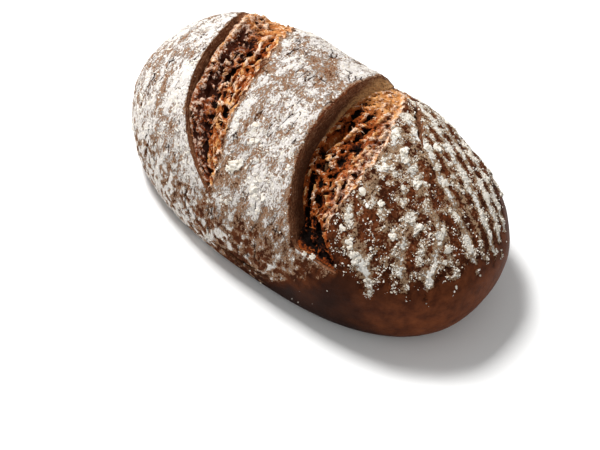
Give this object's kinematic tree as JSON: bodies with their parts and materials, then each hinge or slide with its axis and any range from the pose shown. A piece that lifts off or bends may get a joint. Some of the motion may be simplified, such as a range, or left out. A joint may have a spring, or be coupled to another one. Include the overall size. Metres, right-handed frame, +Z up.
{
  "type": "rye bread loaf",
  "caption": "Whole oval rye loaf with a floured crust, deep slanted scores opened to torn crumb, and a flat baked base.",
  "frame": {"origin": "middle of the loaf's flat base, on the surface it stands on", "axes": "+X along the loaf towards its lower end, +Y across it, +Z up from the base"},
  "size_m": [0.2622, 0.1504, 0.1072],
  "materials": {
    "crust": "dark baked rye crust, matt, dusted with flour, a little glossy where it is bare near the base",
    "crumb": "torn rye crumb baked brown in the scores, rough and open",
    "flour": "dry rye flour, chalky and matt"
  },
  "bodies": {
    "root": {"loaf": "crust"}
  },
  "joints": []
}
